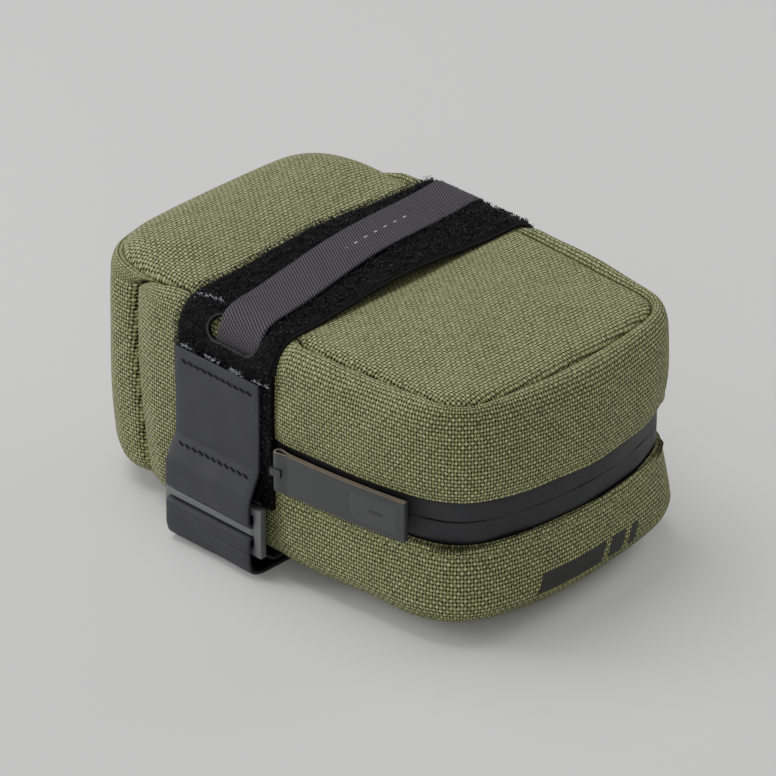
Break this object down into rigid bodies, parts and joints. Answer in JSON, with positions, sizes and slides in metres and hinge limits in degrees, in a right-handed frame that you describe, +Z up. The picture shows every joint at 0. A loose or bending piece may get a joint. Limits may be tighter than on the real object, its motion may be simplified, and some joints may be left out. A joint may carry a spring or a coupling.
{
  "type": "saddle bag",
  "caption": "Soft box-shaped saddle bag with a zipped rear mouth, a pile strap wrapped round its middle, narrow rail webbing and a slide buckle on the near side.",
  "frame": {"origin": "on the underside of the strap's free end, below the middle of the wide strap and midway between the bag's sides", "axes": "+X towards the bag's zipped rear end, +Y towards its far side, away from the buckle, +Z up"},
  "size_m": [0.147, 0.1078, 0.0731],
  "materials": {
    "fabric_green": "melange woven, matte",
    "lining": "plain woven, matte",
    "foam": "closed-cell foam",
    "board": "stiffener sheet",
    "binding": "woven binding tape",
    "zip_tape": "smooth coated tape",
    "zip_coil": "moulded coil",
    "slider_metal": "satin black",
    "pull_fabric": "coated, cut edges",
    "pile": "looped pile, very dark",
    "smooth_edging": "smooth woven",
    "coated_strap": "smooth coated, satin",
    "thread": "thread",
    "buckle": "satin dark grey",
    "hooks": "hook tape",
    "webbing": "fine ribbed webbing"
  },
  "bodies": {
    "bag": {"top_panel": "fabric_green", "bottom_panel_front": "fabric_green", "front_panel": "fabric_green", "side_panel_near": "fabric_green", "side_panel_far": "fabric_green", "upper_wall": "fabric_green", "hinge_gusset": "fabric_green", "front_foam": "foam", "upper_foam": "foam", "top_board": "board", "bottom_board_front": "board", "main_lining": "lining", "top_seam_binding": "binding", "bottom_seam_binding_front": "binding", "upper_zip_tape": "zip_tape", "zip_end_tabs": "zip_tape", "upper_coil": "zip_coil", "zip_stops": "slider_metal", "pile_strap": "pile", "strap_edging": "smooth_edging", "coated_patch": "coated_strap", "patch_stitches": "thread", "buckle_frame": "buckle", "end_strap": "coated_strap", "rail_webbing": "webbing"},
    "jaw": {"bottom_panel_rear": "fabric_green", "lower_wall": "fabric_green", "lower_foam": "foam", "bottom_board_rear": "board", "mouth_lining": "lining", "bottom_seam_binding_rear": "binding", "lower_zip_tape": "zip_tape", "lower_coil": "zip_coil"},
    "slider": {"slider_body": "slider_metal", "slider_bail": "slider_metal"},
    "pull": {"pull_pin": "slider_metal", "pull_strip": "pull_fabric"},
    "tail": {"strap_tail": "coated_strap", "hook_strip": "hooks"}
  },
  "joints": [
    {"name": "mouth_open", "type": "hinge", "parent": "bag", "child": "jaw", "pos_m": [0.02, 0, 0.0356], "axis": [0, 1, 0], "range_deg": [0, 35], "deforming": ["hinge_gusset"]},
    {"name": "zipper_slide", "type": "slide", "parent": "bag", "child": "slider", "axis": [0.9953, 0.097, 0], "range_m": [0, 0.034]},
    {"name": "pull_swing", "type": "hinge", "parent": "slider", "child": "pull", "pos_m": [0.02106, -0.05208, 0.0356], "axis": [0, 0, -1], "range_deg": [0, 80]},
    {"name": "tail_peel", "type": "hinge", "parent": "bag", "child": "tail", "pos_m": [-0.0015, -0.05661, 0.0081], "axis": [-1, 0, 0], "range_deg": [0, 120]}
  ]
}
